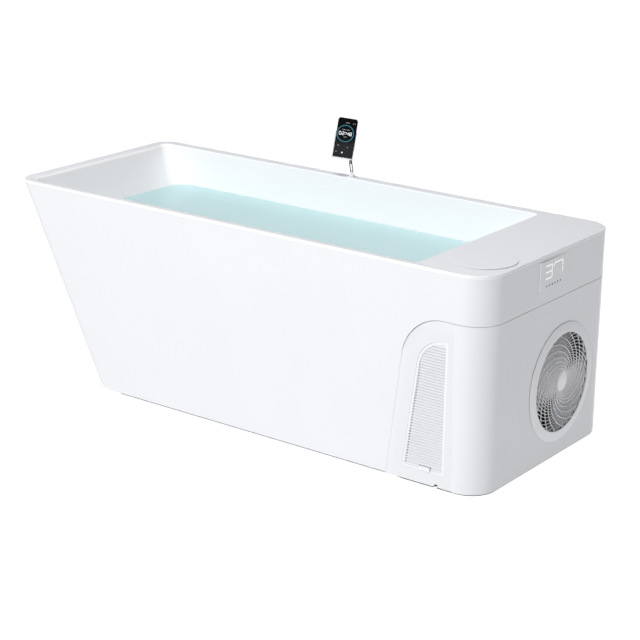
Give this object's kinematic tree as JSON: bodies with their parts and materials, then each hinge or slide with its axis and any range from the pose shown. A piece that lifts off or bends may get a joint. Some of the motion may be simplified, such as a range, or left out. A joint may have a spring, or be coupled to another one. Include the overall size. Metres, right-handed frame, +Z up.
{
  "type": "cold plunge tub",
  "caption": "White one-person cold plunge tub with a leaning head end, built-in chiller behind a louvred cover, filter cap, display and a handset holder.",
  "frame": {"origin": "On the ground, under the middle of the tub.", "axes": "+X runs along the tub to the equipment end, -Y is the front, +Z is up."},
  "size_m": [1.947, 0.79, 0.919],
  "materials": {
    "acrylic_white": "gloss white acrylic",
    "plastic_white": "satin white moulded plastic",
    "plastic_grey": "grey moulded plastic",
    "plastic_black": "black moulded plastic",
    "lever_blue": "blue moulded plastic",
    "circuit_board": "green circuit board",
    "foam": "pale rigid foam",
    "rubber": "matt black rubber",
    "steel": "bright sheet steel",
    "steel_black": "black enamel on steel",
    "copper": "drawn copper tube",
    "aluminium": "mill aluminium fins",
    "filter_paper": "white pleated filter cloth",
    "glass_black": "black glass front"
  },
  "bodies": {
    "tub": {"basin_shell": "acrylic_white", "skirt": "acrylic_white", "suction_fitting": "plastic_white", "return_fitting": "plastic_white", "drain_fitting": "plastic_white", "display_panel": "plastic_white", "holder_base": "plastic_white", "base_pan": "plastic_grey", "equipment_tray": "plastic_grey", "filter_housing": "plastic_grey", "drain_pipe": "plastic_grey", "control_box": "plastic_grey", "fan_shroud": "plastic_black", "pump_volute": "plastic_black", "heat_exchanger": "plastic_black", "drain_valve": "plastic_black", "power_inlet": "plastic_black", "display_board": "circuit_board", "foam_floor": "foam", "foam_front": "foam", "foam_rear": "foam", "foam_head": "foam", "foot_1": "rubber", "foot_2": "rubber", "foot_3": "rubber", "foot_4": "rubber", "foot_5": "rubber", "foot_6": "rubber", "grommet_1": "rubber", "grommet_2": "rubber", "grommet_3": "rubber", "suction_hose": "rubber", "filter_hose": "rubber", "pump_riser": "rubber", "return_hose": "rubber", "power_lead": "rubber", "motor_bracket": "steel", "fan_motor": "steel_black", "compressor": "steel_black", "pump_motor": "steel_black", "discharge_line": "copper", "liquid_line": "copper", "suction_line": "copper", "condenser_coil": "aluminium"},
    "cover": {"lower_cover": "acrylic_white", "fan_bezel": "plastic_white", "fan_grille": "plastic_white"},
    "vent_front": {"vent_panel_front": "plastic_white", "air_filter_front": "plastic_grey"},
    "vent_rear": {"vent_panel_rear": "plastic_white", "air_filter_rear": "plastic_grey"},
    "fan": {"fan_rotor": "plastic_black"},
    "impeller": {"pump_impeller": "plastic_grey"},
    "filter": {"filter_cap": "acrylic_white", "cap_gasket": "rubber", "filter_cartridge": "filter_paper"},
    "valve_lever": {"drain_lever": "lever_blue"},
    "arm": {"holder_arm": "steel"},
    "cradle_body": {"cradle": "plastic_white"},
    "handset_body": {"handset": "glass_black"}
  },
  "joints": [
    {"name": "fan_spin", "type": "hinge", "parent": "tub", "child": "fan", "pos_m": [0.9665, 0.081, 0.253], "axis": [1, 0, 0], "continuous": true},
    {"name": "impeller_spin", "type": "hinge", "parent": "tub", "child": "impeller", "pos_m": [0.7865, 0.326, 0.0973], "axis": [1, 0, 0], "continuous": true},
    {"name": "cover_pull", "type": "slide", "parent": "tub", "child": "cover", "axis": [1, 0, 0], "range_m": [0, 0.3]},
    {"name": "vent_front_pull", "type": "slide", "parent": "cover", "child": "vent_front", "axis": [0, -1, 0], "range_m": [0, 0.06]},
    {"name": "vent_rear_pull", "type": "slide", "parent": "cover", "child": "vent_rear", "axis": [0, 1, 0], "range_m": [0, 0.06]},
    {"name": "filter_lift", "type": "slide", "parent": "tub", "child": "filter", "axis": [0, 0, 1], "range_m": [0, 0.26]},
    {"name": "drain_turn", "type": "hinge", "parent": "tub", "child": "valve_lever", "pos_m": [0.6845, -0.02, 0.084], "axis": [0, 0, -1], "range_deg": [0, 90]},
    {"name": "arm_swing", "type": "hinge", "parent": "tub", "child": "arm", "pos_m": [-0.0755, 0.372, 0.7203], "axis": [-0.5878, 0.809, 0], "range_deg": [-20, 25]},
    {"name": "cradle_swing", "type": "hinge", "parent": "arm", "child": "cradle_body", "pos_m": [-0.08, 0.36873, 0.75991], "axis": [-0.5878, 0.809, 0], "range_deg": [-20, 45]},
    {"name": "handset_lift", "type": "slide", "parent": "cradle_body", "child": "handset_body", "axis": [0.0755, 0.1411, 0.9871], "range_m": [0, 0.15]}
  ]
}
